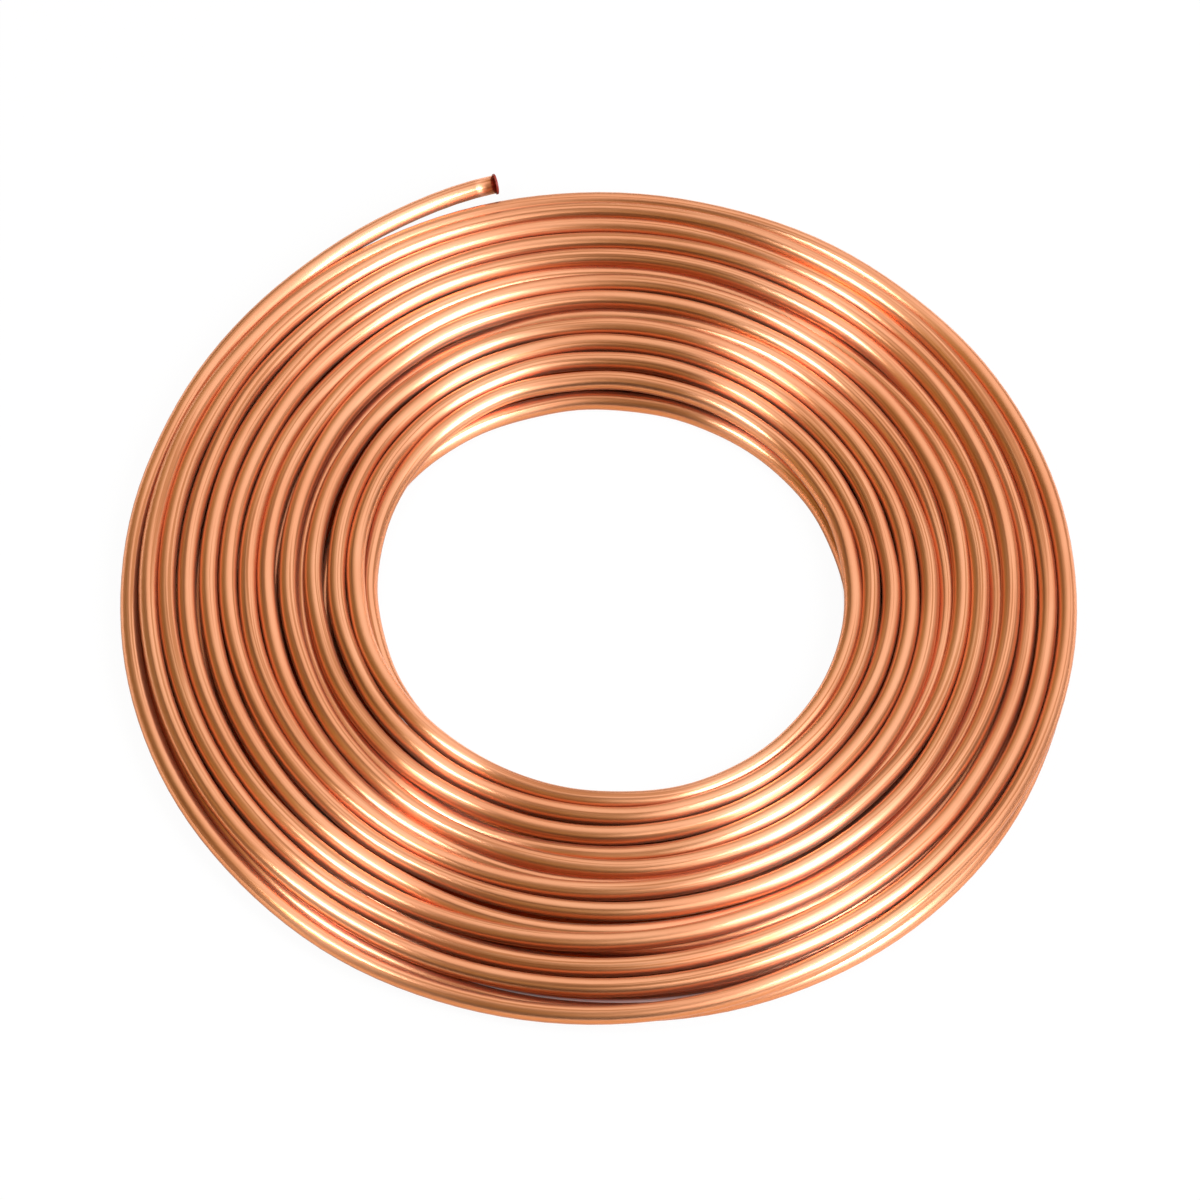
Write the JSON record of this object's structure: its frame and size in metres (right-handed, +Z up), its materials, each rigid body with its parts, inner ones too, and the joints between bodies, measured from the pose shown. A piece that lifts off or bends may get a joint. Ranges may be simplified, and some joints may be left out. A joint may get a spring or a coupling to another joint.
{
  "type": "copper tube coil",
  "caption": "Flat coil of soft copper tube, wound in nested layers round an open eye, its free ends stopped with plugs.",
  "frame": {"origin": "on the coil's axis, at the level that the coil lies on", "axes": "+Z up along the coil's axis; the upper free end stops near +Y, pointing towards +X"},
  "size_m": [0.3254, 0.3262, 0.0134],
  "materials": {
    "annealed_copper": null,
    "red_plastic": "soft moulded polyethylene"
  },
  "bodies": {
    "root": {"copper_tube_coil": "annealed_copper", "end_plug_upper": "red_plastic", "end_plug_lower": "red_plastic"}
  },
  "joints": []
}
